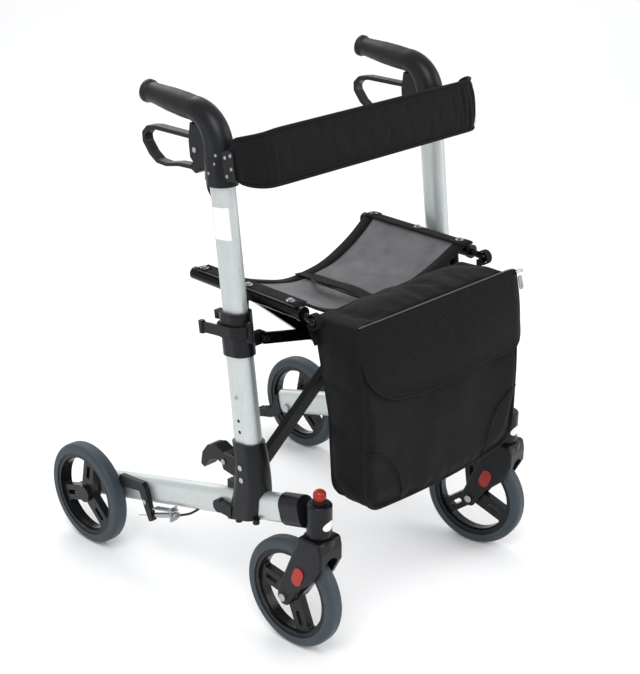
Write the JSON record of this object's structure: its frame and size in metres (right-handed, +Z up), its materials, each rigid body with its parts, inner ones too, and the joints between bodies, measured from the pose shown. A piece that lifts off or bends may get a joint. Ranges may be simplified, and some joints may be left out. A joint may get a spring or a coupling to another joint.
{
  "type": "rollator walker",
  "caption": "Folding rollator walker with a cross-braced aluminium frame, swivelling front casters, loop brakes, height-adjustable grips, sling seat, bowed backrest and front bag.",
  "frame": {"origin": "on the floor, in the middle of the walker's footprint, between the side frames", "axes": "+Z up; the walker rolls forward along -Y, the user stands at +Y; +X is the user's left"},
  "size_m": [0.604, 0.733, 0.9245],
  "materials": {
    "silver_tube": "satin anodised",
    "black_plastic": "moulded matt",
    "black_tube": "satin powder coat",
    "zinc": "zinc plated",
    "tyre": "blue-grey solid tyre",
    "rubber": "soft grip",
    "reflector": "red",
    "cable": "sleeved cable",
    "mesh": "open mesh",
    "nylon": "woven nylon"
  },
  "bodies": {
    "side_frame_right": {"bottom_tube_right": "silver_tube", "outer_post_right": "silver_tube", "base_bracket_right": "black_plastic", "frame_fasteners_right": "zinc", "height_collar_right": "black_plastic", "caster_head_right": "black_plastic", "curb_pedal_right": "black_plastic", "brake_adjuster_right": "zinc", "brake_cable_right": "cable"},
    "handle_right": {"inner_post_right": "silver_tube", "handle_housing_right": "black_plastic", "grip_right": "rubber", "handle_screws_right": "zinc", "backrest": "nylon"},
    "lock_lever_right_body": {"lock_lever_right": "black_plastic"},
    "clamp_lever_right_body": {"clamp_lever_right": "black_plastic"},
    "head_button_right_body": {"head_button_right": "reflector"},
    "brake_arm_right_body": {"brake_arm_right": "black_plastic"},
    "brake_lever_right_body": {"brake_lever_right": "black_plastic"},
    "caster_swivel_right": {"caster_fork_right": "black_plastic", "caster_axle_right": "zinc", "fork_reflectors_right": "reflector"},
    "caster_wheel_right": {"caster_rim_right": "black_plastic", "caster_tyre_right": "tyre"},
    "rear_wheel_right": {"rear_rim_right": "black_plastic", "rear_tyre_right": "tyre"},
    "link_right": {"link_bar_right": "black_tube"},
    "side_frame_left": {"bottom_tube_left": "silver_tube", "outer_post_left": "silver_tube", "base_bracket_left": "black_plastic", "frame_fasteners_left": "zinc", "height_collar_left": "black_plastic", "caster_head_left": "black_plastic", "curb_pedal_left": "black_plastic", "brake_adjuster_left": "zinc", "brake_cable_left": "cable"},
    "handle_left": {"inner_post_left": "silver_tube", "handle_housing_left": "black_plastic", "grip_left": "rubber", "handle_screws_left": "zinc"},
    "lock_lever_left_body": {"lock_lever_left": "black_plastic"},
    "clamp_lever_left_body": {"clamp_lever_left": "black_plastic"},
    "head_button_left_body": {"head_button_left": "reflector"},
    "brake_arm_left_body": {"brake_arm_left": "black_plastic"},
    "brake_lever_left_body": {"brake_lever_left": "black_plastic"},
    "caster_swivel_left": {"caster_fork_left": "black_plastic", "caster_axle_left": "zinc", "fork_reflectors_left": "reflector"},
    "caster_wheel_left": {"caster_rim_left": "black_plastic", "caster_tyre_left": "tyre"},
    "rear_wheel_left": {"rear_rim_left": "black_plastic", "rear_tyre_left": "tyre"},
    "link_left": {"link_bar_left": "black_tube"},
    "cross_left": {"cross_frame_left": "black_tube", "seat_screws_left": "zinc", "cross_pivot_bolt": "zinc", "seat_sling": "mesh"},
    "cross_right": {"cross_frame_right": "black_tube", "seat_screws_right": "zinc"},
    "bag_body": {"bag": "nylon"}
  },
  "joints": [
    {"name": "fold", "type": "hinge", "parent": "side_frame_right", "child": "cross_left", "pos_m": [-0.222, -0.112, 0.245], "axis": [0, -1, 0], "range_deg": [0, 33.36], "deforming": ["seat_sling", "bag", "backrest"]},
    {"name": "scissor", "type": "hinge", "parent": "cross_left", "child": "cross_right", "pos_m": [0, -0.12, 0.4225], "axis": [0, -1, 0], "range_deg": [-67.21, 0.5]},
    {"name": "left_frame_fold", "type": "hinge", "parent": "cross_right", "child": "side_frame_left", "pos_m": [0.222, -0.128, 0.245], "axis": [0, -1, 0], "range_deg": [-0.5, 33.86]},
    {"name": "link_right_turn", "type": "hinge", "parent": "side_frame_right", "child": "link_right", "pos_m": [-0.205, -0.1385, 0.519], "axis": [0, -1, 0], "range_deg": [-0.5, 84.5]},
    {"name": "link_left_turn", "type": "hinge", "parent": "side_frame_left", "child": "link_left", "pos_m": [0.205, -0.1385, 0.519], "axis": [0, 1, 0], "range_deg": [-0.5, 84.5]},
    {"name": "bag_follow", "type": "slide", "parent": "side_frame_right", "child": "bag_body", "axis": [-0.5945, 0, 0.8041], "range_m": [-0.001, 0.22668]},
    {"name": "height_right", "type": "slide", "parent": "side_frame_right", "child": "handle_right", "axis": [0, 0.1224, 0.9925], "range_m": [-0.08, 0.08], "deforming": ["brake_cable_right"]},
    {"name": "rear_wheel_spin_right", "type": "hinge", "parent": "side_frame_right", "child": "rear_wheel_right", "pos_m": [-0.2865, 0.266, 0.1], "axis": [1, 0, 0], "continuous": true},
    {"name": "caster_swivel_right", "type": "hinge", "parent": "side_frame_right", "child": "caster_swivel_right", "pos_m": [-0.247, -0.31, 0.2], "axis": [0, 0, 1], "continuous": true},
    {"name": "caster_spin_right", "type": "hinge", "parent": "caster_swivel_right", "child": "caster_wheel_right", "pos_m": [-0.24903, -0.25454, 0.1], "axis": [0.9993, 0.0366, 0], "continuous": true},
    {"name": "brake_squeeze_right", "type": "hinge", "parent": "handle_right", "child": "brake_lever_right_body", "pos_m": [-0.254, -0.05, 0.836], "axis": [1, 0, 0], "range_deg": [0, 10], "stiffness_Nm_per_rad": 0.6},
    {"name": "brake_arm_turn_right", "type": "hinge", "parent": "side_frame_right", "child": "brake_arm_right_body", "pos_m": [-0.276, 0.104, 0.141], "axis": [-1, 0, 0], "range_deg": [-0.1, 3.3]},
    {"name": "clamp_turn_right", "type": "hinge", "parent": "side_frame_right", "child": "clamp_lever_right_body", "pos_m": [-0.259, -0.16198, 0.55151], "axis": [0, 0.1224, 0.9925], "range_deg": [0, 100]},
    {"name": "lock_turn_right", "type": "hinge", "parent": "side_frame_right", "child": "lock_lever_right_body", "pos_m": [-0.254, -0.106, 0.3], "axis": [1, 0, 0], "range_deg": [0, 30]},
    {"name": "head_press_right", "type": "slide", "parent": "side_frame_right", "child": "head_button_right_body", "axis": [0, 0, -1], "range_m": [0, 0.004], "stiffness_N_per_m": 600},
    {"name": "height_left", "type": "slide", "parent": "side_frame_left", "child": "handle_left", "axis": [0, 0.1224, 0.9925], "range_m": [-0.08, 0.08], "deforming": ["brake_cable_left"]},
    {"name": "rear_wheel_spin_left", "type": "hinge", "parent": "side_frame_left", "child": "rear_wheel_left", "pos_m": [0.2865, 0.266, 0.1], "axis": [1, 0, 0], "continuous": true},
    {"name": "caster_swivel_left", "type": "hinge", "parent": "side_frame_left", "child": "caster_swivel_left", "pos_m": [0.247, -0.31, 0.2], "axis": [0, 0, 1], "continuous": true},
    {"name": "caster_spin_left", "type": "hinge", "parent": "caster_swivel_left", "child": "caster_wheel_left", "pos_m": [0.23765, -0.25529, 0.1], "axis": [0.9857, 0.1685, 0], "continuous": true},
    {"name": "brake_squeeze_left", "type": "hinge", "parent": "handle_left", "child": "brake_lever_left_body", "pos_m": [0.254, -0.05, 0.836], "axis": [1, 0, 0], "range_deg": [0, 10], "stiffness_Nm_per_rad": 0.6},
    {"name": "brake_arm_turn_left", "type": "hinge", "parent": "side_frame_left", "child": "brake_arm_left_body", "pos_m": [0.276, 0.104, 0.141], "axis": [-1, 0, 0], "range_deg": [-0.1, 3.3]},
    {"name": "clamp_turn_left", "type": "hinge", "parent": "side_frame_left", "child": "clamp_lever_left_body", "pos_m": [0.259, -0.16198, 0.55151], "axis": [0, -0.1224, -0.9925], "range_deg": [0, 100]},
    {"name": "lock_turn_left", "type": "hinge", "parent": "side_frame_left", "child": "lock_lever_left_body", "pos_m": [0.254, -0.106, 0.3], "axis": [1, 0, 0], "range_deg": [0, 30]},
    {"name": "head_press_left", "type": "slide", "parent": "side_frame_left", "child": "head_button_left_body", "axis": [0, 0, -1], "range_m": [0, 0.004], "stiffness_N_per_m": 600}
  ],
  "couplings": [
    {"joint": "scissor", "follows": "fold", "ratio": -2},
    {"joint": "left_frame_fold", "follows": "fold", "ratio": 1},
    {"joint": "link_right_turn", "follows": "fold", "ratio": 2.5183},
    {"joint": "link_left_turn", "follows": "fold", "ratio": 2.5183},
    {"joint": "bag_follow", "follows": "fold", "m_per_rad": 0.38765},
    {"joint": "brake_arm_turn_right", "follows": "brake_squeeze_right", "ratio": 0.32},
    {"joint": "brake_arm_turn_left", "follows": "brake_squeeze_left", "ratio": 0.32},
    {"joint": "height_left", "follows": "height_right", "ratio": 1}
  ]
}
